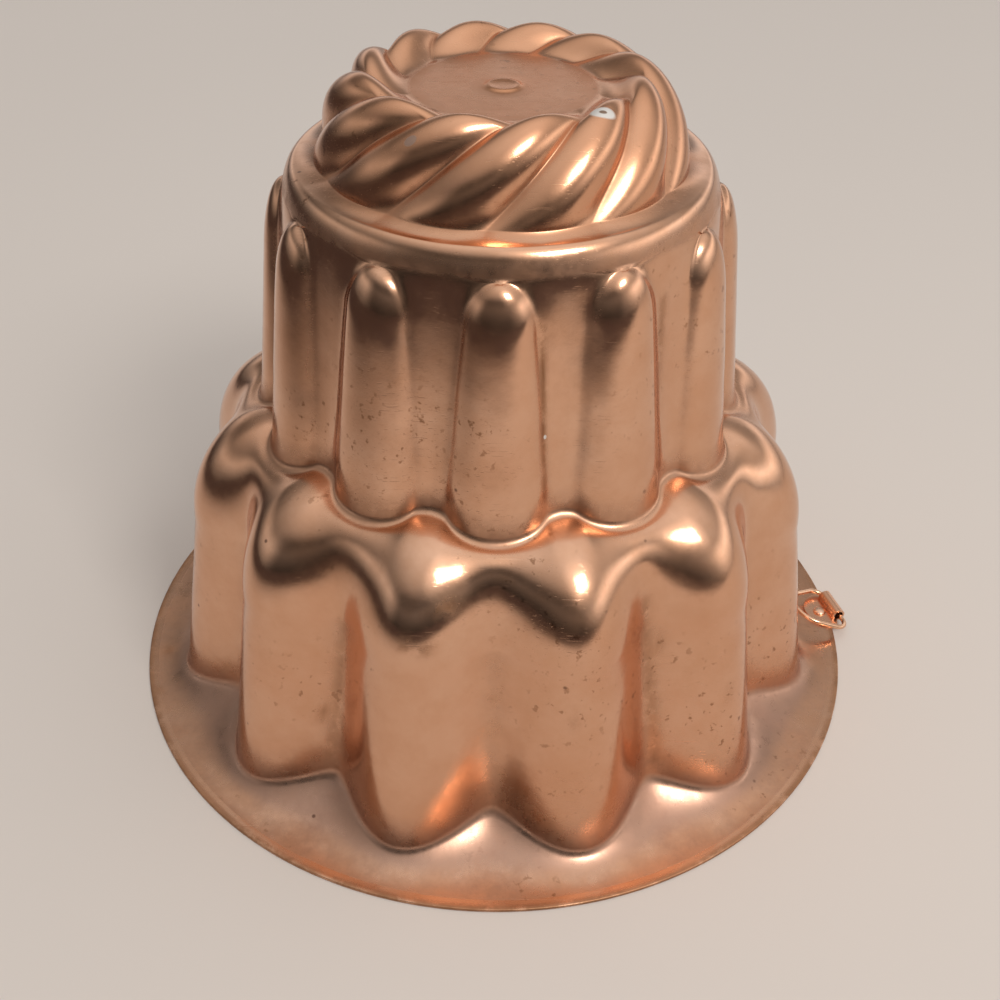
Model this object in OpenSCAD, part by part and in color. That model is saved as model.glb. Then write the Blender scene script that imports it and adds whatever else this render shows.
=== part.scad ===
/* [Size and sheet] */
// Width across the flat rim
rim_d = 178; // [176.4:0.2:180]
// Thickness of the pressed sheet
sheet_t = 0.8; // [0.6:0.05:1]
// Scallops round the lower tier; the ribs and the swirls above share the count
lobes = 12; // [11:1:13]

/* [Lower tier] */
// Radius at the foot of a scallop's crown
lobe_foot_r = 79.5; // [79:0.1:80]
// Radius at the foot of the valley between two scallops
valley_foot_r = 70.2; // [69.6:0.1:71.4]
// Lean of the scallops' wall from upright
lobe_draft = 9.2; // [8:0.2:10.4]
// Lean of the valleys' wall from upright
valley_draft = 8.2; // [7:0.2:9.4]
// Fullness of the scallops across, from pointed to square
lobe_power = 1.27; // [1.1:0.01:1.4]
// How widely the valleys are rounded
valley_round = 0.29; // [0.25:0.01:0.33]
// Radius where the flat rim starts to rise into the wall
rise_r = 86.5; // [86:0.1:87]
// Radius where the rise starts under the hanging tab
seat_r = 82.5; // [82.3:0.1:82.7]
// Height of a scallop's wall, up to its rounded shoulder
lobe_wall_h = 47.7; // [46:0.1:49]
// Height of a valley's wall, up to the saddle
valley_wall_h = 49.5; // [48:0.1:51]
// Height of the scallops' domed tops
dome_h = 73.9; // [73.2:0.1:74.6]
// Height of the saddles between the domes
saddle_h = 70.8; // [70:0.1:71.6]

/* [Upper tier] */
// Radius of the wall between two ribs, at the top
gap_r = 45.4; // [44.8:0.1:45.8]
// Radius of a rib's crest, at the top
rib_r = 49.3; // [48.6:0.1:50]
// Height where the ribs start to close
rib_shoulder_h = 113; // [111:0.5:115]
// Height where the ribs have run out
rib_end_h = 123.2; // [122:0.2:124]
// Height where the ribs start to narrow
rib_foot_h = 78; // [76:0.5:80]
// Half width of a rib at its foot, in degrees
rib_half_foot = 11.2; // [10.5:0.1:11.8]
// Half width of a rib at its shoulder, in degrees
rib_half_top = 8.3; // [7.5:0.1:9]
// Height of the ledge round the crown
ledge_h = 128.9; // [128:0.1:130]

/* [Crown] */
// Radius of the crown's foot
crown_foot_r = 38.8; // [38.4:0.1:39.2]
// Radius of the circle along the tops of the swirls
crown_top_r = 26.5; // [25.5:0.1:27.5]
// Height of the tops of the swirls
crown_h = 146.9; // [146:0.1:148]
// Radius of the flat disc in the middle
disc_r = 19; // [18.5:0.1:19.5]
// Height of the flat disc
disc_h = 142.8; // [142:0.1:143.4]
// Depth of the grooves between the swirls
swirl_depth = 2.6; // [1.8:0.1:3]
// Turn of a groove from the crown's foot to the disc, in degrees
swirl_turn = 53; // [45:1:60]
// Radius of the coined spot in the middle of the disc
spot_r = 3.1; // [2.6:0.1:3.6]
// Height of the coined spot's lip
spot_lip = 0.3; // [0.1:0.05:0.4]

/* [Hanging tab] */
// How far the tab's eye lies past the rim's edge
eye_past_rim = 1; // [0.8:0.1:1.2]
// Place of the eye round the rim, in degrees
eye_at = 3.4; // [3:0.1:4]
// Direction the tab points, in degrees; it has turned a little on its rivet
tab_turn = 16; // [14:0.5:18]
// Thickness of the tab's strip
strip_t = 0.45; // [0.4:0.05:0.5]
// Bore of the eye
eye_bore = 2.4; // [2.4:0.05:2.5]
// Length of the eye
eye_len = 8.2; // [7.8:0.1:8.4]
// Radius of the tab's rounded inner end
tab_end_r = 6; // [5.8:0.1:6.1]
// Distance from the eye to the rivet
rivet_in = 3.7; // [3.6:0.05:3.9]
// How far the rivet sits to one side of the tab's middle
rivet_aside = 0.6; // [0.3:0.1:0.8]

/* [Rivet] */
// Width of the rivet's head
head_d = 3.2; // [3:0.05:3.3]
// Height of the rivet's head
head_h = 0.9; // [0.7:0.05:1.1]
// Width of the rivet's shank
shank_d = 2; // [1.8:0.05:2.1]
// Width of the flush end under the rim
flush_d = 2.8; // [2.6:0.05:3]
// Room between the rivet and its holes
rivet_play = 0.02; // [0.01:0.01:0.03]

/* [Hanging ring] */
// Thickness of the ring's wire
wire_d = 1.2; // [1.1:0.05:1.25]
// Half of the ring's width, to the middle of the wire
ring_half = 7.3; // [7.1:0.1:7.5]
// Length of the ring from its flat side, to the middle of the wire
ring_len = 12.8; // [12.4:0.1:13.2]
// Radius of the two bends beside the flat side
bend_r = 3.2; // [3:0.1:3.4]
// Radius of the ring's far bend
far_bend_r = 6.2; // [5.8:0.1:6.4]
// How far the ring has slid along the eye
ring_slid = 1.5; // [1.2:0.1:1.7]
// How far the wire lies outward of the eye's middle
wire_out = 0.12; // [0.08:0.01:0.15]
// Turn of the ring in its own plane, in degrees
ring_skew = 2; // [1.5:0.1:2.2]
// Lean of the ring at rest, in degrees
ring_rest = 18; // [17:0.5:22]

/* [Hidden] */
// shows every piece, or the one named

rim_r = rim_d / 2;
pitch = 360 / lobes;
half = pitch / 2;
SIDES = 8;
COUNT = lobes * SIDES;

// bends where the rise from the rim meets the wall, at a scallop and at a valley
lobe_bend = 3.2;
valley_bend = 5;
lobe_rise_slope = 32;
lobe_rise_R = 12;
valley_rise_slope = 42;
valley_rise_R = 24;
// inner ends of the domed tops, at the foot of the upper tier
dome_in_r = 50.8;
saddle_in_r = 56.2;
top_bend = 1.3;
// rounding from the upper wall to the ledge
ledge_bend = 3;
// where the crown's grooves start round its foot, in degrees
swirl_start = 25 - 30;
crown_fullness = 1.7;
// the tab's middle, on the eye's axis
eye_r = rim_r + eye_past_rim;
eye_x = eye_r * cos(eye_at);
eye_y = eye_r * sin(eye_at);
eye_out = eye_bore / 2 + strip_t;
eye_z = sheet_t + eye_out;
leaf_top = sheet_t + 2 * strip_t;
rivet_x = eye_x - rivet_in * cos(tab_turn) + rivet_aside * sin(tab_turn);
rivet_y = eye_y - rivet_in * sin(tab_turn) - rivet_aside * cos(tab_turn);

function mix2(a, b, s) = a + (b - a) * s;
function clamp1(x) = min(1, max(0, x));
function smooth(x) = let (c = clamp1(x)) c * c * (3 - 2 * c);
function unit(v) = v / norm(v);

// place of a wall's foot where a rise of radius R and slope s meets it through a bend b
function rise_end_z(R, s) = sheet_t + R * (1 - cos(s));
function rise_end_r(foot, draft, R, s, b) =
    foot - (rise_end_z(R, s) + b * cos(s)) * tan(draft) + b / cos(draft) - b * sin(s);
// a point of the arc from the flat rim at r0 to the end (r1, z1), for a share s of it
function rise(r0, r1, z1, s) =
    let (dr = r0 - r1, dz = z1 - sheet_t, slope = 2 * atan(dz / dr), R = dr / sin(slope))
    [r0 - R * sin(slope * s), sheet_t + R * (1 - cos(slope * s))];
// a point of the bend between the rise and the wall
function foot_bend(r1, z1, draft, s0, b, s) =
    let (a = mix2(270 - s0, 180 + draft, s))
    [r1 + b * sin(s0) + b * cos(a), z1 + b * cos(s0) + b * sin(a)];
// a quarter of an ellipse that starts upright at p and ends level at q
function quarter(p, q, a) = [q[0] + (p[0] - q[0]) * cos(a), p[1] + (q[1] - p[1]) * sin(a)];

// where the two sections end their rise
lobe_z1 = rise_end_z(lobe_rise_R, lobe_rise_slope);
lobe_r1 = rise_end_r(lobe_foot_r, lobe_draft, lobe_rise_R, lobe_rise_slope, lobe_bend);
valley_z1 = rise_end_z(valley_rise_R, valley_rise_slope);
valley_r1 = rise_end_r(valley_foot_r, valley_draft, valley_rise_R, valley_rise_slope, valley_bend);

// 1 beside the hanging tab, 0 away from it
function seat_share(th) =
    let (d = abs((((th - eye_at + 540) % 360) + 360) % 360 - 180)) 1 - smooth((d - 7) / 9);

// share of the way from valley to scallop, for u from -1 to 1 across a scallop
function lobe_f(x) = pow(x + pow(valley_round, 2), lobe_power / 2);
function lobe_share(u) = (lobe_f(pow(cos(90 * u), 2)) - lobe_f(0)) / (lobe_f(1) - lobe_f(0));
// share of the way from wall to crest, for an angle v off a rib's middle
function rib_f(x) = (x + sqrt(x * x + 0.01)) / 2;
function rib_share(v, hw) = pow(rib_f(1 - pow(v / hw, 2)) / rib_f(1), 0.55);

wall_top_lobe = [lobe_foot_r - lobe_wall_h * tan(lobe_draft), lobe_wall_h];
wall_top_valley = [valley_foot_r - valley_wall_h * tan(valley_draft), valley_wall_h];
dome_end = [dome_in_r, dome_h];
saddle_end = [saddle_in_r, saddle_h];
gap_foot = [dome_in_r - top_bend, dome_h + top_bend];
crest_foot = [saddle_in_r - top_bend, saddle_h + top_bend];
gap_top = [gap_r, rib_end_h - 6];
crest_top = [rib_r, rib_end_h - 6];
tier_top = [gap_r - 0.2, rib_end_h];

// half width of a rib at a height, and the share of its run-out
function rib_half(z) =
    z < rib_shoulder_h
        ? mix2(rib_half_foot, rib_half_top, clamp1((z - rib_foot_h) / (rib_shoulder_h - rib_foot_h)))
        : let (q = clamp1((z - rib_shoulder_h) / (rib_end_h - rib_shoulder_h)))
            rib_half_top * sqrt(max(1 - q * q, 0.0001));
function along(a, b, z) = let (s = (z - a[1]) / (b[1] - a[1])) [mix2(a[0], b[0], s), z];
function crest_at(z) =
    z <= crest_top[1]
        ? along(crest_foot, crest_top, z)
        : let (s = clamp1((z - crest_top[1]) / (rib_end_h - crest_top[1])))
            [tier_top[0] + (rib_r - tier_top[0]) * sqrt(1 - s * s), z];
function gap_at(z) = z <= gap_top[1] ? along(gap_foot, gap_top, z) : along(gap_top, tier_top, z);

// rows of the outer face, from the rim to the ledge:
// [kind, point at a scallop or gap, point at a valley or rib, share of the dome]
low_rows = [
    [0, [rim_r, sheet_t], [rim_r, sheet_t], 0],
    [1, [0, 0], [0, 0], 0],
    [2, [0, 0], [0, 0], 0.5],
    [3, [0, 0], [0, 0], 1],
    for (s = [0.5, 1]) [4, foot_bend(lobe_r1, lobe_z1, lobe_draft, lobe_rise_slope, lobe_bend, s),
        foot_bend(valley_r1, valley_z1, valley_draft, valley_rise_slope, valley_bend, s), 0],
    [4, wall_top_lobe, wall_top_valley, 0],
    for (a = [22, 45, 68, 90]) [5, quarter(wall_top_lobe, dome_end, a),
        quarter(wall_top_valley, saddle_end, a), a / 90],
    [6, gap_foot, crest_foot, 0],
    for (z = [rib_foot_h + 15, rib_shoulder_h]) [6, gap_at(z), crest_at(z), 0],
    for (q = [0.5, 0.78, 0.94, 1])
        let (z = mix2(rib_shoulder_h, rib_end_h, q)) [6, gap_at(z), crest_at(z), 0],
    for (a = [0, 45, 90])
        let (p = [tier_top[0] - ledge_bend * (1 - cos(a)) - 0.05,
                  ledge_h - ledge_bend * 1.1 * (1 - sin(a))]) [7, p, p, (a + 45) / 135]
];

// rows of the crown: [radius, height, share of the way to the disc]
crown_rise = crown_h - ledge_h - 0.6;
function crown_out(a) = [
    crown_top_r + (crown_foot_r - crown_top_r) * pow(cos(a), 2 / crown_fullness),
    ledge_h + 0.6 + crown_rise * pow(sin(a), 2 / crown_fullness)];
function crown_in(s) = [
    mix2(crown_top_r, disc_r, s), disc_h + (crown_h - disc_h) * (1 + cos(180 * s)) / 2];
crown_rows = [
    [crown_out(0)[0], crown_out(0)[1], 0.03],
    [crown_out(14)[0], crown_out(14)[1], 0.12],
    [crown_out(28)[0], crown_out(28)[1], 0.26],
    [crown_out(43)[0], crown_out(43)[1], 0.42],
    [crown_out(58)[0], crown_out(58)[1], 0.56],
    [crown_out(74)[0], crown_out(74)[1], 0.67],
    [crown_out(90)[0], crown_out(90)[1], 0.76],
    [crown_in(0.36)[0], crown_in(0.36)[1], 0.85],
    [crown_in(0.7)[0], crown_in(0.7)[1], 0.93],
    [crown_in(1)[0], crown_in(1)[1], 1]
];
function swirl_at(q) = swirl_turn * (0.79 * q + 0.21 * q * q);
function groove_depth(q) =
    swirl_depth * (1 - pow(1 - clamp1(q / 0.3), 3)) * (1 - pow(clamp1((q - 0.5) / 0.5), 2.2));
// 1 along a swirl's top, 0 in a groove, for x from 0 to 1 across a swirl
function swirl_share(x) =
    pow((sqrt(pow(sin(180 * x), 2) + 0.01) - 0.1) / (sqrt(1.01) - 0.1), 0.8);
// direction out of the crown's section at a row
function crown_dir(j) =
    let (a = crown_rows[max(j - 1, 0)], b = crown_rows[min(j + 1, 9)],
         d = unit([b[0] - a[0], b[1] - a[1]])) [d[1], -d[0]];
disc_rows = [[spot_r + 0.4, disc_h], [spot_r - 0.1, disc_h + spot_lip]];

LOW = len(low_rows);
MID = LOW + len(crown_rows);
ROWS = MID + len(disc_rows);

// angles of the columns inside one pitch, which follow the creases
low_cols = [0, 0.2, 0.45, 0.72, 1];
crown_cols = [0, 0.15, 0.37, 0.67, 1];
function rib_cols(hw) = let (h = max(hw, 5) / half) [0, 0.5 * h, 0.86 * h, h * 1.02, 1];
function cols_of(k) =
    k >= LOW ? crown_cols
    : let (kind = low_rows[k][0])
        kind < 5 ? low_cols
        : kind == 5 ? mix2(low_cols, rib_cols(rib_half_foot), smooth(low_rows[k][3] * 1.8 - 0.8))
        : kind == 6 ? rib_cols(rib_half(low_rows[k][2][1]))
        : mix2(rib_cols(5), crown_cols, low_rows[k][3]);
function turn_of(k) =
    k >= MID ? swirl_start + swirl_turn
    : k >= LOW ? swirl_start + swirl_at(crown_rows[k - LOW][2])
    : low_rows[k][0] == 7 ? swirl_start * low_rows[k][3] : 0;
// share of a half pitch, signed, for column c of a pitch
function col_share(cols, c) = c <= 4 ? cols[c] : -cols[8 - c];

function low_point(row, th, v) =
    let (kind = row[0], u = abs(v) / half, w_low = lobe_share(1 - u),
         w_up = 1 - rib_share(v, rib_half(row[2][1])),
         q1 = smooth(row[3] / 0.55), q2 = smooth((row[3] - 0.45) / 0.55),
         w = kind < 5 ? w_low
             : kind == 5
                 ? mix2(w_low, mix2((1 - cos(180 * u)) / 2, w_up, q2), q1)
                 : kind == 6 ? w_up : 1,
         seat = seat_share(th),
         start = mix2(rise_r, seat_r, seat),
         a = kind == 0 || kind > 3 ? row[1] : rise(start, lobe_r1, lobe_z1, row[3]),
         b = kind == 0 || kind > 3 ? row[2] : rise(start, valley_r1, valley_z1, row[3]),
         p = mix2(b, a, w))
    [p[0] * cos(th), p[0] * sin(th), p[1]];
function crown_point(j, th, x) =
    let (row = crown_rows[j], d = crown_dir(j),
         off = (swirl_share(x) - 1) * groove_depth(row[2]),
         r = row[0] + d[0] * off, z = row[1] + d[1] * off)
    [r * cos(th), r * sin(th), z];
function disc_point(row, th) = [row[0] * cos(th), row[0] * sin(th), row[1]];

outer = [for (k = [0:ROWS - 1])
    let (cols = cols_of(k), turn = turn_of(k))
    [for (i = [0:COUNT - 1])
        let (sector = floor(i / SIDES), c = i % SIDES, v = col_share(cols, c) * half,
             th = sector * pitch + v + turn + (c > 4 ? pitch : 0))
        k < LOW ? low_point(low_rows[k], th, v)
        : k < MID ? crown_point(k - LOW, th, abs(v) / pitch)
        : disc_point(disc_rows[k - MID], th)]];
// outward direction of the sheet at a point
function sheet_dir(k, i) =
    k <= 1 || k >= ROWS - 1 ? [0, 0, 1]
    : unit(cross(outer[k][(i + 1) % COUNT] - outer[k][(i + COUNT - 1) % COUNT],
                 outer[k + 1][i] - outer[k - 1][i]));
inner = [for (k = [0:ROWS - 1]) [for (i = [0:COUNT - 1])
    outer[k][i] - sheet_t * sheet_dir(k, i)]];
spot_z = disc_h + spot_lip * 0.4;
shell_points = concat([for (row = outer) each row], [for (row = inner) each row],
    [[0, 0, spot_z], [0, 0, spot_z - sheet_t]]);
IN = ROWS * COUNT;
TOP = 2 * IN;
shell_faces = [
    for (k = [0:ROWS - 2], i = [0:COUNT - 1])
        let (j = (i + 1) % COUNT, a = k * COUNT + i, b = k * COUNT + j, c = a + COUNT,
             d = b + COUNT)
        each [[a, c, d], [a, d, b], [IN + a, IN + d, IN + c], [IN + a, IN + b, IN + d]],
    for (i = [0:COUNT - 1])
        let (j = (i + 1) % COUNT, a = (ROWS - 1) * COUNT + i, b = (ROWS - 1) * COUNT + j)
        each [[a, TOP, b], [IN + a, IN + b, TOP + 1], [IN + i, i, j], [IN + i, j, IN + j]]
];

// the whole mould, pressed from one sheet
module mould_body() {
    color([0.72, 0.45, 0.3])
    difference() {
        polyhedron(points = shell_points, faces = shell_faces, convexity = 12);
        rivet_shape(rivet_play);
    }
}

// the part of the rivet that passes through the rim and the tab, grown by some play
module rivet_shape(play) {
    translate([rivet_x, rivet_y, -1])
    cylinder(r = shank_d / 2 + play, h = leaf_top + 1.5, $fn = 32);
    translate([rivet_x, rivet_y, -0.2])
    cylinder(r1 = flush_d / 2 + play + 0.2, r2 = shank_d / 2,
             h = (flush_d - shank_d) / 2 + play + 0.2, $fn = 32);
}

// the folded strip: two leaves on the rim, and the eye rolled past the rim's edge
module hanging_tab() {
    color([0.74, 0.47, 0.32])
    difference() {
        union() {
            translate([eye_x, eye_y, sheet_t])
            rotate([0, 0, tab_turn])
            linear_extrude(2 * strip_t)
            leaf_outline();
            translate([eye_x, eye_y, eye_z])
            rotate([0, 0, tab_turn])
            rotate([90, 0, 0])
            cylinder(r = eye_out, h = eye_len, center = true, $fn = 48);
        }
        translate([eye_x, eye_y, eye_z])
        rotate([0, 0, tab_turn])
        rotate([90, 0, 0])
        cylinder(d = eye_bore, h = 20, center = true, $fn = 48);
        translate([rivet_x, rivet_y, 0])
        cylinder(r = shank_d / 2 + rivet_play, h = 4, $fn = 32);
    }
}

// the leaves from above: a round inner end that narrows to the eye
module leaf_outline() {
    end_at = [-1.2, 0];
    polygon(concat(
        [for (a = [90:4.5:270]) end_at + tab_end_r * [cos(a), sin(a)]],
        [[-0.3, -eye_len / 2], [-0.3, eye_len / 2]]));
}

module rivet() {
    color([0.78, 0.6, 0.45])
    union() {
        translate([rivet_x, rivet_y, 0])
        cylinder(d = shank_d, h = leaf_top + 0.1, $fn = 32);
        translate([rivet_x, rivet_y, 0])
        cylinder(r1 = flush_d / 2, r2 = shank_d / 2, h = (flush_d - shank_d) / 2, $fn = 32);
        translate([rivet_x, rivet_y, leaf_top])
        rotate_extrude($fn = 48)
        polygon(concat([[0, 0], [head_d / 2, 0], [head_d / 2, 0.15]],
            [for (a = [15:15:90]) [head_d / 2 * cos(a), 0.15 + (head_h - 0.15) * sin(a)]]));
    }
}

// lean of the ring: it lies at ring_rest, or stands steeper where the rim is too narrow for it
ring_room = eye_r - valley_r1 - wire_d - 1;
ring_lean = ring_room < ring_len ? max(ring_rest, acos(max(ring_room, 0) / ring_len)) : ring_rest;
// centres of the ring's bends, in its own plane: along the ring, across it
near_c = [bend_r, -(ring_half - bend_r)];
far_c = [ring_len - far_bend_r, 0];
span = far_c - near_c;
side_turn = atan2(span[1], span[0]) - acos((bend_r - far_bend_r) / norm(span));
// the wire's path: centre of a bend, its radius, and the direction out of the bend
wire_path = concat(
    [for (s = [0:9]) [near_c, bend_r, mix2(180, 360 + side_turn, s / 9)]],
    [for (s = [0:12]) [far_c, far_bend_r, mix2(side_turn, -side_turn, s / 12)]],
    [for (s = [0:9]) [[near_c[0], -near_c[1]], bend_r, mix2(-side_turn, 180, s / 9)]]);
WIRE_SIDES = 16;
wire_points = [for (p = wire_path, i = [0:WIRE_SIDES - 1])
    let (a = i * 360 / WIRE_SIDES, r = p[1] + wire_d / 2 * cos(a))
    [p[0][0] + r * cos(p[2]), p[0][1] + r * sin(p[2]), wire_d / 2 * sin(a)]];
wire_faces = [for (k = [0:len(wire_path) - 1], i = [0:WIRE_SIDES - 1])
    let (j = (i + 1) % WIRE_SIDES, m = (k + 1) % len(wire_path),
         a = k * WIRE_SIDES, b = m * WIRE_SIDES)
    each [[a + i, b + i, b + j], [a + i, b + j, a + j]]];

// the wire ring, flat side in the eye, leaning inward over the rim
module hanging_ring() {
    color([0.76, 0.5, 0.35])
    translate([eye_x, eye_y, eye_z])
    rotate([0, 0, tab_turn])
    rotate([0, ring_lean, 0])
    rotate([0, 0, 180])
    rotate([0, 0, ring_skew])
    translate([-wire_out, ring_slid, 0])
    polyhedron(points = wire_points, faces = wire_faces, convexity = 4);
}

mould_body();
hanging_tab();
rivet();
hanging_ring();
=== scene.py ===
import math
import bpy
import numpy as np
from mathutils import Matrix, Vector


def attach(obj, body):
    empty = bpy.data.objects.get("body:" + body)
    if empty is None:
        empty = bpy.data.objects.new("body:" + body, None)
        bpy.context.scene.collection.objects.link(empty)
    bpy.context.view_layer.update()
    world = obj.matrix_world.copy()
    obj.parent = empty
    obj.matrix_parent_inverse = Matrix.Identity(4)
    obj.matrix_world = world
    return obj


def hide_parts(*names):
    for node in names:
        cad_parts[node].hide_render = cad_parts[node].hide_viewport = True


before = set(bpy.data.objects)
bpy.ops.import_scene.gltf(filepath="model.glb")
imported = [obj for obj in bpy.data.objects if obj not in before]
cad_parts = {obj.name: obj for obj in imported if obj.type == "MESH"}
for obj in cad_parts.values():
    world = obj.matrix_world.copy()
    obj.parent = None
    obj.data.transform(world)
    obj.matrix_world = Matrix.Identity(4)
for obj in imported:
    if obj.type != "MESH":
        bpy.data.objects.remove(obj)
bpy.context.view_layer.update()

# Mould body
# One thin sheet of copper-coloured aluminium, pressed into two fluted tiers and a swirled crown,
# standing on its flat rim. Every ring of its surface blends two sections, one through the scallops
# and one through the valleys. Sizes are in mm and degrees.

MM = 0.001
RIM_R, SHEET, TOP_Z = 89.0, 0.8, 146.9
PITCH, HALF = 30.0, 15.0                    # from one scallop to the next, and from a scallop to its valley
# Scallop and valley: radius of the foot at table level, lean of the wall, radius where the upper wall
# starts, height where the dome starts and height of the dome's top.
SCALLOP_FOOT_R, SCALLOP_LEAN, SCALLOP_R, SCALLOP_H, DOME_H = 79.5, 9.2, 50.8, 47.7, 73.9
VALLEY_FOOT_R, VALLEY_LEAN, VALLEY_R, VALLEY_H, SADDLE_H = 70.2, 8.2, 56.2, 49.5, 70.8
WALL_TOP_R, WALL_TOP_Z = 45.4, 117.2        # the upper wall between the ribs
RIB_TIP_Z, RIB_TIP_H, RIB_TIP_HALF = 113.0, 10.2, 8.3
SHOULDER_Z, SHOULDER_H, SHOULDER_IN = 120.5, 8.4, 2.74
LEDGE_Z, LEDGE_R = 123.2, 41.2
CROWN_Z, CREST_R, CREST_BACK, DISC_R, DISC_Z = 129.5, 27.4, 10.6, 19.0, 142.8
RIM, RISE, WALL, DOME, RIBS, SHOULDER = range(6)


def d_sin(a):
    return np.sin(np.radians(a))


def d_cos(a):
    return np.cos(np.radians(a))


def smooth(x):
    """0 below 0, 1 above 1, and an even S between them."""
    c = np.clip(x, 0.0, 1.0)
    return c * c * (3 - 2 * c)


def noise(p, size, seed, octaves=3):
    """Soft random field over points p: sums of turned sine waves, about one wave per size."""
    rng = np.random.default_rng(seed)
    total, weight = 0.0, 0.0
    for k in range(octaves * 6):
        turn = rng.normal(size=3)
        turn /= np.linalg.norm(turn)
        octave = k // 6
        f = 2 * math.pi / size * 2.0 ** octave * rng.uniform(0.8, 1.25)
        g = 0.6 ** octave
        total = total + g * np.sin(p @ turn * f + rng.uniform(0, 6.28))
        weight += g * g / 2
    return total / math.sqrt(weight)


def rounded(q):
    """1 before 0, then down to 0 at 1 as a full quarter ellipse."""
    return max(1 - max(q, 0) ** 2.2, 0) ** 0.4545


def wall_r(z, foot):
    """Radius of the wall between the ribs: a straight lean, closed by the shoulder's quarter ellipse."""
    lean = (WALL_TOP_R - foot[0]) * (z - foot[1]) / (WALL_TOP_Z - foot[1])
    return foot[0] + lean - SHOULDER_IN * (1 - rounded((z - SHOULDER_Z) / SHOULDER_H))


def low_sections():
    """Rows from the rim to the ledge: (kind, scallop r, z, valley r, z, share of the way along the kind).

    The rise is an arc, the bend is an arc tangent to the wall, the wall leans more at a scallop
    than at a valley, and the dome is a quarter ellipse. Above it, a rib's front is a slightly bowed
    line that closes with a long rounded end, and the shoulder is a quarter ellipse off the wall.
    """
    rows = []
    for r in np.linspace(RIM_R - 0.25, 86.8, 4):
        rows.append((RIM, r, SHEET, r, SHEET, 0))
    ends = []
    # the arcs of the rise and the bend: radius of the rise, its slope at the end, radius of the bend
    for foot, lean, rise_r, s, b in ((SCALLOP_FOOT_R, SCALLOP_LEAN, 12.0, 32.0, 3.2),
                                     (VALLEY_FOOT_R, VALLEY_LEAN, 24.0, 42.0, 5.0)):
        z1 = SHEET + rise_r * (1 - d_cos(s))
        r1 = foot - (z1 + b * d_cos(s)) * d_sin(lean) / d_cos(lean) + b / d_cos(lean) - b * d_sin(s)
        ends.append((r1, z1, s, b, lean))
    (ra, za, sa, ba, la), (rv, zv, sv, bv, lv) = ends
    for s in np.linspace(0, 1, 10):
        rows.append((RISE, ra, za, rv, zv, s))
    for s in np.linspace(0, 1, 7)[1:]:
        a, v = sa + (90 - la - sa) * s, sv + (90 - lv - sv) * s
        rows.append((WALL, ra + ba * d_sin(sa) - ba * d_sin(a), za + ba * d_cos(sa) - ba * d_cos(a),
                     rv + bv * d_sin(sv) - bv * d_sin(v), zv + bv * d_cos(sv) - bv * d_cos(v), 0))
    top_a = (SCALLOP_FOOT_R - SCALLOP_H * d_sin(SCALLOP_LEAN) / d_cos(SCALLOP_LEAN), SCALLOP_H)
    top_v = (VALLEY_FOOT_R - VALLEY_H * d_sin(VALLEY_LEAN) / d_cos(VALLEY_LEAN), VALLEY_H)
    last = rows[-1]
    for s in np.linspace(0, 1, 11)[1:]:
        rows.append((WALL, last[1] + (top_a[0] - last[1]) * s, last[2] + (top_a[1] - last[2]) * s,
                     last[3] + (top_v[0] - last[3]) * s, last[4] + (top_v[1] - last[4]) * s, 0))
    for a in np.linspace(0, 90, 25)[1:]:
        rows.append((DOME, SCALLOP_R + (top_a[0] - SCALLOP_R) * d_cos(a), SCALLOP_H + (DOME_H - SCALLOP_H) * d_sin(a),
                     VALLEY_R + (top_v[0] - VALLEY_R) * d_cos(a), VALLEY_H + (SADDLE_H - VALLEY_H) * d_sin(a),
                     a / 90))
    b = 1.9                                 # radius of the bend from the shelf into the upper wall
    for a in np.linspace(0, 86, 6)[1:]:
        rows.append((RIBS, SCALLOP_R - b * d_sin(a), DOME_H + b * (1 - d_cos(a)),
                     VALLEY_R - b * d_sin(a), SADDLE_H + b * (1 - d_cos(a)), 0))
    g0, c0 = (rows[-1][1], rows[-1][2]), (rows[-1][3], rows[-1][4])
    tip = RIB_TIP_Z + RIB_TIP_H * d_sin(np.linspace(0, 90, 17)[1:])
    for z in np.concatenate([np.linspace(75.5, RIB_TIP_Z, 16)[1:], tip]):
        zg = g0[1] + (z - c0[1]) * (LEDGE_Z - g0[1]) / (LEDGE_Z - c0[1])
        rc = 50.5 + 0.1 * (107 - z) + 0.0028 * max(90 - z, 0) ** 2 - 3.98 * (1 - rounded((z - 109) / 14.2))
        rc += (c0[0] - 54.8) * max(1 - (z - c0[1]) / 12, 0)
        rg = wall_r(zg, g0)
        rows.append((RIBS, rg, zg, max(rc, rg), z, 0))
    for a in np.linspace(24, 90, 14):
        z = SHOULDER_Z + SHOULDER_H * d_sin(a) ** 0.909
        r = max(wall_r(z, g0), LEDGE_R)
        rows.append((SHOULDER, r, z, r, z, (a - 24) / 66))
    return rows


def rib_half(z):
    """Half width of a rib in degrees at height z: narrows up the wall, then closes like a finger tip."""
    q = np.clip((z - RIB_TIP_Z) / RIB_TIP_H, 0, 1)
    side = np.interp(z, [72, 80, 90, 100, 109, RIB_TIP_Z], [11.0, 11.2, 10.2, 9.6, 8.7, RIB_TIP_HALF])
    return np.where(z < RIB_TIP_Z, side, RIB_TIP_HALF * np.sqrt(np.maximum(1 - q * q, 1e-4)))


def scallop_share(u):
    """0 in a valley and 1 on a scallop's crown: a rounded power of the cosine, sharp at the valley."""
    f = lambda x: (x + 0.0841) ** 0.635
    return (f(d_cos(90 * u) ** 2) - f(0)) / (f(1) - f(0))


def rib_share(v, hw):
    """1 on a rib's crest and 0 on the wall: half-round across, with a crisp foot at hw degrees."""
    f = lambda x: (x + np.sqrt(x * x + 0.04)) / 2
    return (f(1 - (v / hw) ** 2) / f(1.0)) ** 0.55


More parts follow.
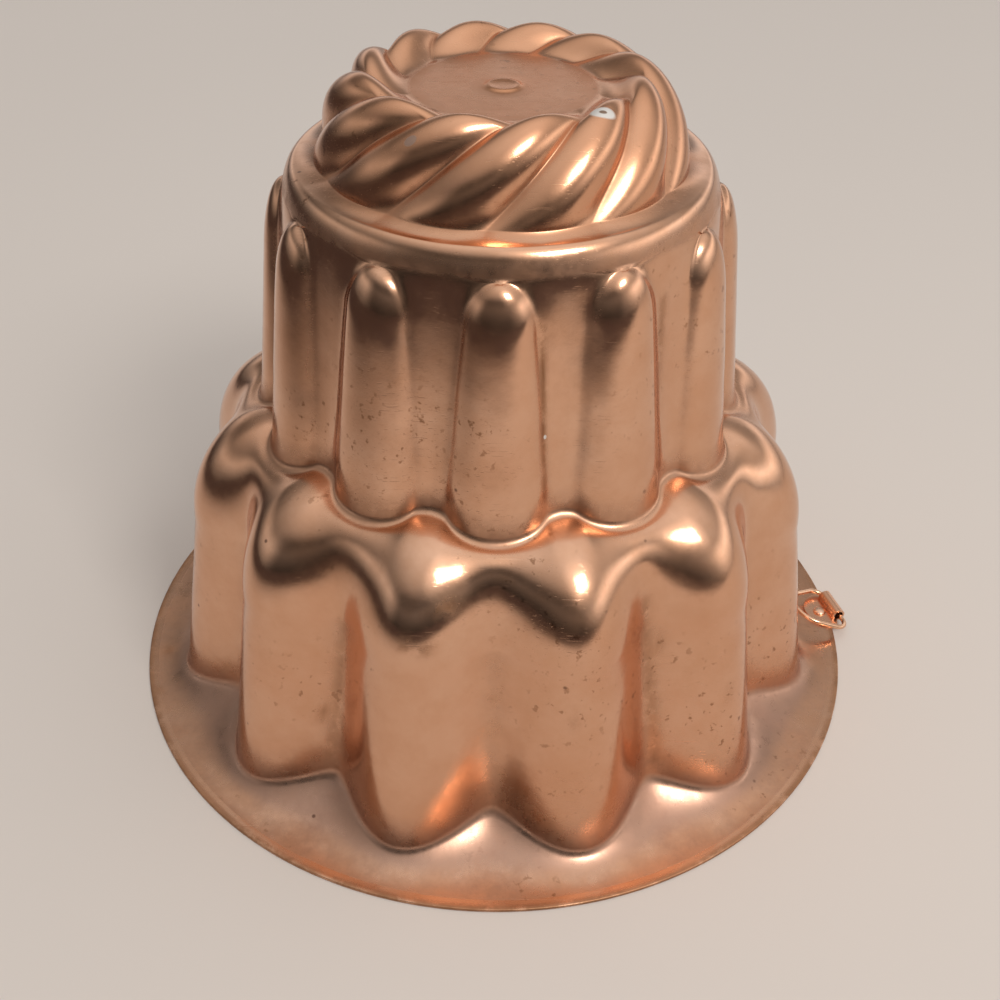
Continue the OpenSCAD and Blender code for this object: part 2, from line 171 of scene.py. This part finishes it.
def crown_sections():
    """Rows of the crown: (r, z, normal r, normal z, share of the way to the disc).

    Outward a quarter of a slightly pinched ellipse up to the crest circle, inward half a cosine
    wave down to the disc.
    """
    a = np.linspace(0, 90, 40)
    r = CREST_R + CREST_BACK * np.maximum(d_cos(a), 0) ** (2 / 1.7)
    z = CROWN_Z + (TOP_Z - CROWN_Z) * d_sin(a) ** (2 / 1.7)
    s = np.linspace(0, 1, 18)[1:]
    r = np.concatenate([r, CREST_R - (CREST_R - DISC_R) * s])
    z = np.concatenate([z, DISC_Z + (TOP_Z - DISC_Z) * (1 + d_cos(180 * s)) / 2])
    step = np.hypot(np.diff(r), np.diff(z))
    length = np.concatenate([[0], np.cumsum(step)])
    dr, dz = np.gradient(r, length), np.gradient(z, length)
    return r, z, dz / np.hypot(dr, dz), -dr / np.hypot(dr, dz), 0.02 + 0.98 * length / length[-1]


def swirl_share(x):
    """1 on a swirl's top and 0 in a groove, for x from 0 to 1 across a swirl."""
    return ((np.sqrt(d_sin(180 * x) ** 2 + 0.01) - 0.1) / (math.sqrt(1.01) - 0.1)) ** 0.8


TAB_AT = 3.4                                # the rise starts further in at the tab's angle
GROOVE_DEPTH, TURN_BACK, TWIST = 2.6, 5.0, 53.0
# Rows of the sunk disc from its edge to the small ring pressed in its middle: r, z.
DISC_ROWS = ((18.2, 142.79), (15, 142.75), (11, 142.72), (7, 142.7), (4.6, 142.7), (3.9, 142.75),
             (3.5, 142.95), (3.1, 143.15), (2.7, 143.12), (2.2, 143.0), (1.4, 142.92))


def columns(n):
    """Sector, side and place of 24 n columns: the place runs from 0 in a valley to 1 on a scallop and back."""
    c = np.arange(24 * n)
    sector, k = c // (2 * n), c % (2 * n)
    return sector, np.where(k <= n, 1.0, -1.0), np.where(k <= n, k, 2 * n - k) / n


def angle(sector, side, v, shift):
    """Angle of a column that lies v degrees off its sector's valley, on either side, plus a shift."""
    return sector * PITCH + side * v + np.where(side < 0, PITCH, 0.0) + shift


def rise(th, w, scallop_end, valley_end, share):
    """The rise off the rim: arcs level at the rim that end at the bend, blended by the scallop's share."""
    off_tab = np.abs((th - TAB_AT + 180) % 360 - 180)
    start = 86.5 - 4.0 * (1 - smooth((off_tab - 7) / 9))
    ends = []
    for r1, z1 in (scallop_end, valley_end):
        slope = 2 * np.degrees(np.arctan2(z1 - SHEET, start - r1))
        rise_r = (start - r1) / d_sin(slope)
        ends.append((start - rise_r * d_sin(slope * share), SHEET + rise_r * (1 - d_cos(slope * share))))
    (a_r, a_z), (v_r, v_z) = ends
    return v_r + w * (a_r - v_r), v_z + w * (a_z - v_z)


def dirt_and_shade_below(kind, v, hw, zv, mean_z):
    """Share of dirt and painted shade below the crown: bell curves at the foot, in the creases, by the ribs and on
    the shelves.
    """
    foot = math.exp(-((zv - 8) / 8.0) ** 2) if kind in (RISE, WALL) else 0.0
    crease = 0.5 * np.exp(-(v / 2.4) ** 2) if kind < DOME else 0.4 * np.exp(-((v - hw) / 1.2) ** 2) * (kind == RIBS)
    shelf = math.exp(-((zv - 72.5) / 2.2) ** 2 if kind in (DOME, RIBS) else -((mean_z - 124.5) / 2) ** 2)
    return np.clip(0.8 * foot + crease + 0.85 * shelf, 0, 1)


def below_crown(sector, side, s):
    """Rings up to the ledge: each point is valley + share x (scallop - valley), turned to its angle.

    Columns gather at the valleys below the shelf and at the ribs' feet above it, and the dome
    blends from the one spacing to the other.
    """
    grid, dirt_and_shade = [], []
    for kind, ra, za, rv, zv, share in low_sections():
        hw = float(rib_half(zv)) if kind == RIBS else 11.0
        h = max(hw, 4.5) / HALF
        low = s ** 1.3
        rib = np.where(s < 0.62, h * (1 - np.maximum(1 - s / 0.62, 0) ** 1.5),
                       h + (1 - h) * np.maximum((s - 0.62) / 0.38, 0) ** 1.4)
        to_rib = float(smooth(share * 1.8 - 0.8))
        u = {DOME: (1 - to_rib) * low + to_rib * rib, RIBS: rib,
             SHOULDER: (1 - share) * rib + share * s ** 1.2}.get(kind, low)
        v = u * HALF
        th = angle(sector, side, v, -TURN_BACK * share if kind == SHOULDER else 0)
        w_low, w_up = scallop_share(1 - u), 1 - rib_share(v, hw)
        q1, q2 = smooth(share / 0.55), smooth((share - 0.45) / 0.55)
        w_dome = (1 - q1) * w_low + q1 * ((1 - q2) * (1 - d_cos(180 * u)) / 2 + q2 * w_up)
        w = {DOME: w_dome, RIBS: w_up, SHOULDER: np.ones_like(u)}.get(kind, w_low)
        r, z = rise(th, w, (ra, za), (rv, zv), share) if kind == RISE else (rv + w * (ra - rv), zv + w * (za - zv))
        grid.append(np.stack([r * d_cos(th), r * d_sin(th), z + 0 * r], 1))
        dirt_and_shade.append(dirt_and_shade_below(kind, v, hw, zv, z.mean()))
    return grid, dirt_and_shade


def crown(sector, side, s):
    """Rings of the crown: the section moved in along its normal by the groove's depth, turned as it climbs.

    The turn grows with the first and second power of the share of the way to the disc.
    """
    grid, dirt_and_shade = [], []
    for r0, z0, nr, nz, share in zip(*crown_sections()):
        v = s ** 1.2 * HALF
        th = angle(sector, side, v, TWIST * (0.79 * share + 0.21 * share ** 2) - TURN_BACK)
        depth = GROOVE_DEPTH * (1 - (1 - min(share / 0.3, 1)) ** 3) * (1 - max((share - 0.5) / 0.5, 0) ** 2.2)
        w = swirl_share(v / PITCH)
        r, z = r0 + nr * (w - 1) * depth, z0 + nz * (w - 1) * depth
        grid.append(np.stack([r * d_cos(th), r * d_sin(th), z], 1))
        # Dirt and painted shade in the grooves and along the crown's foot.
        dirt_and_shade.append(np.clip(np.exp(-(v / 2.2) ** 2) * min(depth / 1.5, 1) + math.exp(-share / 0.035), 0, 1))
    th = angle(sector, side, s ** 1.2 * HALF, TWIST - TURN_BACK)
    for r0, z0 in DISC_ROWS:
        grid.append(np.stack([r0 * d_cos(th), r0 * d_sin(th), z0 + 0 * th], 1))
        # Dirt and painted shade round the small pressed ring and at the disc's edge.
        kept_dirt_and_shade = 0.4 * math.exp(-((r0 - 4.2) / 0.5) ** 2) + 0.5 * math.exp(-((r0 - DISC_R) / 2.5) ** 2)
        dirt_and_shade.append(np.full(len(th), kept_dirt_and_shade))
    return grid, dirt_and_shade


def directions(g):
    """Outward unit direction at each grid point, from its neighbours."""
    across = np.roll(g, -1, 1) - np.roll(g, 1, 1)
    up = np.empty_like(g)
    up[1:-1], up[0], up[-1] = g[2:] - g[:-2], g[1] - g[0], g[-1] - g[-2]
    d = np.cross(across, up)
    return d / np.linalg.norm(d, axis=2, keepdims=True)


# The outer face as a grid of rings, with a waviness that fades out at the rim and the disc.
place = columns(18)
(low_grid, low_dirt_and_shade), (crown_grid, crown_dirt_and_shade) = below_crown(*place), crown(*place)
outer, dirt_and_shade = np.array(low_grid + crown_grid), np.array(low_dirt_and_shade + crown_dirt_and_shade)
face_dir = directions(outer)
flat = outer.reshape(-1, 3)
keep = np.clip((87.5 - np.hypot(flat[:, 0], flat[:, 1])) / 3, 0, 1) * np.clip((145 - flat[:, 2]) / 6, 0.15, 1)
wave = (noise(flat, 46, 3, 2) * 0.05 + noise(flat, 17, 4, 2) * 0.018) * keep
outer = outer + face_dir * wave.reshape(*outer.shape[:2], 1)

# The inner face is every second ring and column moved in by the sheet, and the rim's edge joins the two.
pick = np.unique(np.append(np.arange(0, len(outer), 2), len(outer) - 1))
inner = outer[pick][:, ::2] - face_dir[pick][:, ::2] * SHEET
inner[:2, :, 2] = 0.0
edge = [(RIM_R - 0.18, 0.0), (RIM_R, 0.16), (RIM_R, 0.6), (RIM_R - 0.08, 0.76)]
edge_th = np.arctan2(outer[0, :, 1], outer[0, :, 0])
edge_rows = [np.stack([r * np.cos(edge_th), r * np.sin(edge_th), z + 0 * edge_th], 1) for r, z in edge]
face_rows = np.concatenate([edge_rows, outer])
rows, cols = face_rows.shape[:2]
in_rows, in_cols = inner.shape[:2]
verts = np.concatenate([face_rows.reshape(-1, 3), inner.reshape(-1, 3), [[0, 0, 142.9], [0, 0, 142.1]]])
verts[:, 2] = np.clip(verts[:, 2], 0, TOP_Z)
FIRST_IN = rows * cols
MIDDLE = FIRST_IN + in_rows * in_cols
i, m = np.arange(cols), np.arange(in_cols)
j, o = (i + 1) % cols, (m + 1) % in_cols
last_out, last_in = (rows - 1) * cols, FIRST_IN + (in_rows - 1) * in_cols
quads = [np.stack([k + i, k + j, k + cols + j, k + cols + i], 1) for k in range(0, last_out, cols)]
quads += [np.stack([k + m, k + in_cols + m, k + in_cols + o, k + o], 1) for k in range(FIRST_IN, last_in, in_cols)]
tris = [np.stack([last_out + i, last_out + j, np.full(cols, MIDDLE)], 1),
        np.stack([last_in + o, last_in + m, np.full(in_cols, MIDDLE + 1)], 1),
        np.stack([2 * m, FIRST_IN + m, 2 * m + 1], 1),
        np.stack([2 * m + 1, FIRST_IN + m, FIRST_IN + o], 1),
        np.stack([2 * m + 1, FIRST_IN + o, (2 * m + 2) % cols], 1)]


def make_mesh(name, points, faces, attributes=()):
    """A smooth-shaded object from points in mm and lists of faces, with named values on its points."""
    mesh = bpy.data.meshes.new(name)
    mesh.from_pydata((np.asarray(points) * MM).tolist(), [], [f.tolist() for block in faces for f in block])
    mesh.polygons.foreach_set("use_smooth", np.ones(len(mesh.polygons), bool))
    for key, values in attributes:
        mesh.attributes.new(key, "FLOAT", "POINT").data.foreach_set("value", np.asarray(values, np.float32))
    mesh.validate()
    mesh.update()
    obj = bpy.data.objects.new(name, mesh)
    bpy.context.scene.collection.objects.link(obj)
    return obj


# Dirt and painted shade in the creases, half strength on the rim's edge rows and none inside.
dirt_and_shade_all = np.concatenate([np.full(4 * cols, 0.5), dirt_and_shade.reshape(-1), np.zeros(len(verts) - FIRST_IN)])
inside = np.concatenate([np.zeros(FIRST_IN), np.ones(in_rows * in_cols), [0, 1]])
WORN_AT, GREY_AT, WHITE_AT = (18.0, -22.8, 146.0), (-16.4, -28.9, 142.8), (9.0, -47.6, 92.2)
# Brown streaks down the creases: both ends, width and strength.
STREAKS = (((7.5, -45, 117), (9.5, -49.5, 81), 0.7, 0.9), ((30.5, -34, 115), (34.5, -40.5, 74), 1.2, 0.6),
           ((30.5, -55, 57), (36, -58.5, 13), 1.6, 0.55), ((-30.5, -55, 50), (-36, -58.5, 13), 1.6, 0.3))
# Brown stains: place, size and strength. They lie over and under the front domes, on the walls, and on the rim.
STAINS = (((-9, -64, 63.5), 2.2, 0.9), ((-11.5, -65, 63), 1.4, 0.8), ((-17.5, -68, 57), 1.6, 0.7),
          ((-13.5, -68.5, 56), 1.8, 0.7), ((-37, -57, 26), 1.4, 0.8), ((16.5, -71, 38), 1.3, 0.7),
          ((22, -70.5, 32.5), 1.0, 0.7), ((51, -54, 32), 1.3, 0.7), ((5, -45, 126), 2.0, 0.4),
          ((34.5, -54.5, 46), 1.6, 0.4), ((-83, -14, 1), 1.8, 0.8), ((-83, -28, 1), 1.4, 0.7))
stain = np.zeros(len(verts))
for place, size, strength in STAINS:
    stain = np.maximum(stain, strength * np.exp(-(np.linalg.norm(verts - place, axis=1) / size) ** 2))
for start, end, width, strength in STREAKS:
    a, d = np.array(start), np.array(end) - np.array(start)
    along = np.clip((verts - a) @ d / (d @ d), 0, 1)
    far = np.linalg.norm(verts - a - along[:, None] * d, axis=1)
    stain = np.maximum(stain, strength * np.exp(-(far / width) ** 2))
edge_share = smooth((np.hypot(verts[:, 0], verts[:, 1]) - 87.2) / 1.4) * (verts[:, 2] < 1.5)
stain = np.maximum(stain, 0.8 * edge_share)
# The disc's share of tarnish, and the painted shade where the rim bends up into the walls.
disc_share = smooth((20.5 - np.hypot(verts[:, 0], verts[:, 1])) / 3) * (verts[:, 2] > 140)
foot_shade = smooth((verts[:, 2] - 1.0) / 1.6) * smooth((11 - verts[:, 2]) / 4)
tarnish = np.maximum(0.8 * disc_share, 0.35 * smooth((verts[:, 2] - 128.8) / 0.5))
mould = make_mesh("mould_sheet", verts, quads + tris, [
    ("dirt_and_shade", dirt_and_shade_all), ("inside", inside), ("stain", stain), ("tarnish", tarnish), ("foot_shade", foot_shade)])


class Shader:
    """A material whose nodes are added and joined in short calls."""

    def __init__(self, name):
        self.material = bpy.data.materials.new(name)
        self.material.use_nodes = True
        self.tree = self.material.node_tree
        self.bsdf = self.tree.nodes["Principled BSDF"]
        self.coords = self.add("ShaderNodeTexCoord").outputs["Object"]

    def add(self, kind, inputs=(), **settings):
        node = self.tree.nodes.new(kind)
        for key, value in settings.items():
            setattr(node, key, value)
        for key, value in dict(inputs).items():
            self.put(node.inputs[key], value)
        return node

    def put(self, socket, value):
        if isinstance(value, bpy.types.NodeSocket):
            self.tree.links.new(value, socket)
        else:
            socket.default_value = value

    def noise(self, scale, detail, rough, stretch=None):
        where = self.coords
        if stretch:
            where = self.add("ShaderNodeMapping", {"Vector": where, "Scale": stretch}).outputs[0]
        return self.add("ShaderNodeTexNoise", {"Vector": where, "Scale": scale, "Detail": detail,
                                               "Roughness": rough}).outputs["Fac"]

    def ramp(self, value, low, high, to_low=0.0, to_high=1.0):
        return self.add("ShaderNodeMapRange", {"Value": value, "From Min": low, "From Max": high, "To Min": to_low,
                                               "To Max": to_high}).outputs["Result"]

    def ease(self, value, low, high):
        return self.add("ShaderNodeMapRange", {"Value": value, "From Min": low, "From Max": high},
                        interpolation_type="SMOOTHSTEP").outputs["Result"]

    def math(self, operation, a, b=0.0, c=0.0):
        node = self.add("ShaderNodeMath", operation=operation)
        for socket, value in zip(node.inputs, (a, b, c)):
            self.put(socket, value)
        return node.outputs[0]

    def mix(self, share, a, b):
        node = self.add("ShaderNodeMix", data_type="RGBA")
        self.put(node.inputs["Factor"], share)
        self.put(node.inputs["A"], a)
        self.put(node.inputs["B"], b)
        return node.outputs["Result"]

    def value(self, name):
        return self.add("ShaderNodeAttribute", attribute_name=name).outputs["Fac"]


# Each scratch direction: a turn in radians and a shift that sets its pattern apart.
SCRATCH_WAYS = (((0.5, 0.2, 0.9), 3.0), ((-0.7, 0.4, 2.1), 11.0), ((0.1, 1.2, 0.3), 23.0))
# Each mark: place, size, strength and colour. The first two are a worn oval and the dark slit in it.
MARKS = ((WORN_AT, 2.7, 0.95, (0.86, 0.84, 0.8, 1)), (WORN_AT, 0.9, 0.95, (0.3, 0.2, 0.14, 1)),
         (GREY_AT, 1.5, 0.45, (0.36, 0.36, 0.36, 1)), (WHITE_AT, 0.55, 0.95, (0.8, 0.78, 0.74, 1)))
# Browns of dirt with painted shade, of stains and of flecks; below them the painted shade in the foot's bend, dark
# dots and bare metal.
DIRT_AND_SHADE_BROWN, STAIN_BROWN, FLECK_BROWN = (0.33, 0.18, 0.12, 1), (0.27, 0.12, 0.05, 1), (0.3, 0.14, 0.07, 1)
FOOT_SHADE_BROWN, DARK_DOT, BARE_METAL = (0.42, 0.26, 0.2, 1), (0.12, 0.06, 0.04, 1), (0.72, 0.7, 0.66, 1)


def tinted(base, red, green, blue):
    """The base colour with each channel scaled."""
    return base[0] * red, base[1] * green, base[2] * blue, 1


def scratches(s):
    """Thin straight scratches, more in some patches: noise stretched 65 to 1 in three directions, cut high."""
    scored = 0.0
    for turn, shift in SCRATCH_WAYS:
        turned = s.add("ShaderNodeMapping", {"Vector": s.coords, "Rotation": turn, "Location": (shift, 0, 0),
                                             "Scale": (40, 2600, 2600)}).outputs[0]
        streak = s.add("ShaderNodeTexNoise", {"Vector": turned, "Scale": 1.0, "Detail": 2.0}).outputs["Fac"]
        scored = s.math("MAXIMUM", scored, s.ramp(streak, 0.67, 0.74))
    return s.math("MULTIPLY", scored, s.ramp(s.noise(24, 3, 0.6), 0.45, 0.62, 0.1, 1.0))


def marks(s, hue):
    """The single marks laid over the colour, each an oval round its place. Also gives how worn the metal is."""
    worn = 0.0
    for place, size, strength, shade in MARKS:
        gap = s.add("ShaderNodeVectorMath", {0: s.coords, 1: [c * MM for c in place]}, operation="SUBTRACT")
        gap = s.add("ShaderNodeMapping", {"Vector": gap.outputs[0], "Rotation": (0, 0, -0.75), "Scale": (1, 1.7, 1)})
        far = s.add("ShaderNodeVectorMath", {0: gap.outputs[0]}, operation="LENGTH").outputs["Value"]
        share = s.math("MULTIPLY", s.ease(far, size * MM, size * 0.72 * MM), strength)
        hue = s.mix(share, hue, shade)
        worn = s.math("MAXIMUM", worn, share)
    return hue, worn


def aged(s, base, hue, rough_value):
    """Colour and roughness of the used sheet.

    Over the metal's colour come, in turn, dirt with painted shade in the creases, stains, the disc's tarnish, a soft
    mottle, brown flecks, painted shade in the bend at the foot, dark dots and the single marks. Dirt with its painted
    shade, and stains, are broken up by noise. The inside is bare metal.
    """
    speck = s.noise(160, 6, 0.7)
    # Dirt with painted shade darkens the creases, feet and shelves, broken up by speckle noise.
    kept_dirt_and_shade = s.math("MULTIPLY", s.value("dirt_and_shade"), s.ramp(speck, 0.3, 0.62, 0.25, 1.0))
    stain = s.math("MULTIPLY", s.value("stain"), s.ramp(speck, 0.34, 0.5))
    mottle = s.ramp(s.noise(110, 6, 0.7), 0.4, 0.66)
    fleck = s.math("MULTIPLY", s.ramp(s.noise(520, 3, 0.6), 0.62, 0.68), s.ramp(s.noise(22, 3, 0.6), 0.48, 0.62))
    cells = s.add("ShaderNodeTexVoronoi", {"Vector": s.coords, "Scale": 130.0})
    some = s.add("ShaderNodeSeparateColor", {"Color": cells.outputs["Color"]}).outputs[0]
    dot = s.math("MULTIPLY", s.ramp(cells.outputs["Distance"], 0.075, 0.035), s.ramp(some, 0.8, 0.85))
    # Each share lays its colour in turn: dirt with painted shade, stains, tarnish, mottle, flecks, painted shade in
    # the foot's bend, dark dots.
    for share, strength, shade in ((kept_dirt_and_shade, 0.6, DIRT_AND_SHADE_BROWN), (stain, 0.95, STAIN_BROWN),
                                   (s.value("tarnish"), 1.0, tinted(base, 0.86, 0.62, 0.44)),
                                   (mottle, 0.5, tinted(base, 0.86, 0.76, 0.66)), (fleck, 0.75, FLECK_BROWN),
                                   (s.value("foot_shade"), 0.62, FOOT_SHADE_BROWN), (dot, 0.8, DARK_DOT)):
        hue = s.mix(s.math("MULTIPLY", share, strength), hue, shade)
    hue, worn = marks(s, hue)
    for share, strength in ((mottle, 0.04), (worn, 0.35), (kept_dirt_and_shade, 0.3), (stain, 0.3), (s.value("tarnish"), 0.12)):
        rough_value = s.math("MULTIPLY_ADD", share, strength, rough_value)
    return s.mix(s.value("inside"), hue, BARE_METAL), rough_value


def copper(name, base, rough, used_sheet=True):
    """Copper-coloured metal, cloudy in colour and polish, with fine draw lines and scratches."""
    s = Shader(name)
    cloud = s.noise(38, 5, 0.62)
    hue = s.mix(s.ramp(cloud, 0.35, 0.7), (*base, 1), tinted(base, 0.94, 0.86, 0.8))
    rough_value = s.math("ADD", s.ramp(cloud, 0.3, 0.72, rough - 0.02, rough + 0.06),
                         s.ramp(s.noise(420, 3, 0.6), 0.3, 0.7, -0.02, 0.04))
    scored = scratches(s)
    rough_value = s.math("MULTIPLY_ADD", scored, 0.12, rough_value)
    if used_sheet:
        hue, rough_value = aged(s, base, hue, rough_value)
    s.put(s.bsdf.inputs["Base Color"], hue)
    s.put(s.bsdf.inputs["Roughness"], rough_value)
    s.bsdf.inputs["Metallic"].default_value = 1.0
    height = s.noise(60, 3, 0.5)
    for wave, share in ((s.noise(1.0, 3, 0.6, (420, 420, 14)), 0.2), (s.noise(260, 2, 0.5), 0.22),
                        (s.noise(1500, 2, 0.6), 0.06), (scored, -0.12)):
        height = s.math("MULTIPLY_ADD", wave, share, height)
    bump = s.add("ShaderNodeBump", {"Strength": 0.14, "Distance": 0.0004, "Height": height})
    s.put(s.bsdf.inputs["Normal"], bump.outputs["Normal"])
    return s


mould.data.materials.append(copper("copper_sheet", (0.765, 0.455, 0.3), 0.115).material)
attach(mould, "body")
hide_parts("mould_body")

# Tab and rivet
# A strip of the same sheet, folded round the ring's wire and held to the rim by a round headed rivet.
# Both keep their CAD solids: the tab's metal is dull and the rivet's paler, where it has been rubbed.

for node_name, base, rough in (("hanging_tab", (0.8, 0.47, 0.31), 0.24), ("rivet", (0.82, 0.54, 0.39), 0.28)):
    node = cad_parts[node_name]
    node.data.materials.clear()
    node.data.materials.append(copper(node_name + "_metal", base, rough, False).material)

# Hanging ring
# A closed loop of round wire that hangs the mould on a hook. It is straight on the side that turns in
# the tab's eye and round on the other, and it leans inward over the rim.

WIRE_R, RING_HALF, RING_LEN, BEND, FAR_BEND = 0.6, 7.3, 12.8, 3.2, 6.2
EYE_R, EYE_AT, EYE_Z, TAB_TURN, LEAN, SKEW = 90.0, 3.4, 2.45, 16.0, 18.0, 2.0
SHIFT_IN, SHIFT_ALONG, WIRE_SIDES = -0.12, 1.5, 24


def loop_path():
    """Stations of the loop as bend centre x, y, bend radius and angle.

    Two small bends at the straight side and one large bend opposite, joined by their common tangents.
    """
    near_y, far_x = RING_HALF - BEND, RING_LEN - FAR_BEND
    tilt = math.degrees(math.atan2(near_y, far_x - BEND)) - math.degrees(
        math.acos((BEND - FAR_BEND) / math.hypot(far_x - BEND, near_y)))
    bends = ((BEND, -near_y, BEND, np.linspace(180, 360 + tilt, 25)),
             (far_x, 0, FAR_BEND, np.linspace(tilt, -tilt, 41)),
             (BEND, near_y, BEND, np.linspace(-tilt, 180, 25)))
    return np.concatenate([np.stack([x + 0 * a, y + 0 * a, r + 0 * a, a]) for x, y, r, a in bends], 1)


x, y, bend, a = loop_path()[:, :, None]
w = np.arange(WIRE_SIDES) * 360.0 / WIRE_SIDES
reach = bend + WIRE_R * d_cos(w)
wire = np.stack([x + reach * d_cos(a) + SHIFT_IN, y + reach * d_sin(a) + SHIFT_ALONG, WIRE_R * d_sin(w) + 0 * a], -1)
turns = Matrix.Rotation(math.radians(TAB_TURN), 3, "Z") @ Matrix.Rotation(math.radians(LEAN), 3, "Y") @ \
    Matrix.Rotation(math.radians(180 + SKEW), 3, "Z")
wire = wire.reshape(-1, 3) @ np.array(turns).T + (EYE_R * d_cos(EYE_AT), EYE_R * d_sin(EYE_AT), EYE_Z)
k, side = np.meshgrid(np.arange(len(x)), np.arange(WIRE_SIDES), indexing="ij")
k_next, side_next = (k + 1) % len(x), (side + 1) % WIRE_SIDES
wire_faces = np.stack([k * WIRE_SIDES + side, k_next * WIRE_SIDES + side, k_next * WIRE_SIDES + side_next,
                       k * WIRE_SIDES + side_next], -1).reshape(-1, 4)
ring = make_mesh("ring_wire", wire, [wire_faces])
ring.data.materials.append(copper("copper_wire", (0.86, 0.55, 0.37), 0.17, False).material)
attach(ring, "ring")
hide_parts("hanging_ring")

# Table
# A pale matt board that fills the view. Towards the camera and, on the left, just outside the view, the board ends in
# painted shade: its colour turns dark, standing for the room beyond, and the metal shows that dark.

TABLE_PALE, TABLE_GREYER, PAINTED_DARK_BEYOND = (0.72, 0.66, 0.61, 1), (0.69, 0.63, 0.58, 1), (0.075, 0.058, 0.058, 1)
board = Shader("table_top")
spot = board.add("ShaderNodeSeparateXYZ", {"Vector": board.coords}).outputs
# Share of pale board: towards the front and left edges the colour fades into painted shade.
board_not_painted_dark = board.math("MULTIPLY", board.ease(board.math("MULTIPLY_ADD", spot["X"], 0.15, spot["Y"]), -0.43, -0.25),
                      board.ease(board.math("MULTIPLY_ADD", spot["Y"], 0.32, spot["X"]), -0.41, -0.13))
board.put(board.bsdf.inputs["Base Color"],
          board.mix(board_not_painted_dark, PAINTED_DARK_BEYOND, board.mix(board.noise(3.0, 3, 0.5), TABLE_PALE, TABLE_GREYER)))
board.bsdf.inputs["Roughness"].default_value = 0.9
board.bsdf.inputs["Specular IOR Level"].default_value = 0.1
table = make_mesh("table", [(-2500, -1800, 0), (2500, -1800, 0), (2500, 2500, 0), (-2500, 2500, 0)],
                  [np.array([[0, 1, 2, 3]])])
table.data.materials.append(board.material)

# Light and camera
# One soft lamp stands high in front on the right. The rest is the room: pale overhead and on the
# right, dim on the left and dark behind the camera.

LAMP_AT, LAMP_AIM, LAMP_SIZE, LAMP_WATTS = Vector((560, -800, 990)), Vector((0, 0, 70)), (420, 320), 6.2
# Light of the room by the direction's height: dim at table level, a pale band above it, and white overhead.
ROOM_LEVELS = ((0.0, 0.24), (0.25, 0.9), (0.45, 0.32), (0.62, 0.5), (0.8, 0.74))
world = bpy.data.worlds.new("room")
bpy.context.scene.world = world
world.use_nodes = True


class Room(Shader):
    """The same short calls on the world's nodes, with the direction looked at as coordinates."""

    def __init__(self, owner):
        self.tree = owner.node_tree
        self.coords = self.add("ShaderNodeTexCoord").outputs["Generated"]


room = Room(world)
ray = room.add("ShaderNodeSeparateXYZ", {"Vector": room.coords}).outputs
height = room.add("ShaderNodeValToRGB", {"Fac": ray["Z"]})
stops = height.color_ramp.elements
for where, level in ROOM_LEVELS:
    stop = stops.new(where) if where > 0 else stops[0]
    stop.color = (level, level * 0.965, level * 0.94, 1)
# Each part of the room scales or raises the level that its height gives.
behind_camera = room.math("MULTIPLY", room.ease(ray["Y"], -0.3, -0.75), room.ease(ray["Z"], 0.7, 0.35))
level = room.math("MULTIPLY", room.ramp(ray["X"], -0.8, 0.8, 0.72, 1.25), room.ramp(behind_camera, 0, 1, 1, 0.2))
dim_back = room.math("MULTIPLY", room.ease(ray["Y"], 0.1, 0.6), room.ease(ray["Z"], 0.85, 0.6))
dim_back = room.math("MULTIPLY", dim_back, room.ramp(ray["X"], -0.1, 0.3, 0.5, 0.36))
level = room.math("SUBTRACT", level, room.math("MULTIPLY", dim_back, level))
back_board = room.math("MULTIPLY", room.ease(ray["Y"], 0.62, 0.85), room.ease(ray["Z"], 0.62, 0.42))
level = room.math("MULTIPLY_ADD", back_board, 0.5, level)
right_wall = room.math("MULTIPLY", room.ease(ray["X"], 0.35, 0.9), room.ease(ray["Z"], 0.8, 0.2))
level = room.math("MULTIPLY_ADD", right_wall, 0.6, level)
lit_room = room.add("ShaderNodeVectorMath", {0: height.outputs["Color"], "Scale": level}, operation="SCALE")
toward = room.add("ShaderNodeVectorMath", {0: room.coords, 1: LAMP_AT.normalized()}, operation="DOT_PRODUCT")
glow = room.mix(room.ease(toward.outputs["Value"], 0.86, 0.99), (0, 0, 0, 1), (0.5, 0.48, 0.46, 1))
glow_add = room.add("ShaderNodeVectorMath", {0: lit_room.outputs[0], 1: glow}, operation="ADD")
room.put(room.tree.nodes["Background"].inputs["Color"], glow_add.outputs[0])

key_data = bpy.data.lights.new("key", "AREA")
key_data.shape = "RECTANGLE"
key_data.size, key_data.size_y = LAMP_SIZE[0] * MM, LAMP_SIZE[1] * MM
key_data.energy, key_data.color = LAMP_WATTS, (1.0, 0.97, 0.93)
key = bpy.data.objects.new("key", key_data)
bpy.context.scene.collection.objects.link(key)
key.location = LAMP_AT * MM
key.rotation_euler = (LAMP_AIM - LAMP_AT).to_track_quat("-Z", "Y").to_euler()

# The camera looks down on the mould from the front, a little turned and rolled.
PITCH_DOWN, YAW, ROLL = math.radians(37.58), 0.0033, 0.018
CAMERA_Y, CAMERA_Z, SENSOR, LENS = -245.71, 229.37, 36.0, 45.489
ahead = Vector((math.sin(YAW) * math.cos(PITCH_DOWN), math.cos(YAW) * math.cos(PITCH_DOWN), -math.sin(PITCH_DOWN)))
right = Vector((math.cos(YAW), -math.sin(YAW), 0))
up = right.cross(ahead)
right, up = math.cos(ROLL) * right + math.sin(ROLL) * up, math.cos(ROLL) * up - math.sin(ROLL) * right
camera_data = bpy.data.cameras.new("camera")
camera_data.sensor_width, camera_data.lens = SENSOR, LENS
camera = bpy.data.objects.new("camera", camera_data)
bpy.context.scene.collection.objects.link(camera)
camera.matrix_world = Matrix((
    (right.x, up.x, -ahead.x, 0.0), (right.y, up.y, -ahead.y, CAMERA_Y * MM),
    (right.z, up.z, -ahead.z, CAMERA_Z * MM), (0, 0, 0, 1)))
bpy.context.scene.camera = camera
bpy.context.scene.view_settings.view_transform = "Standard"
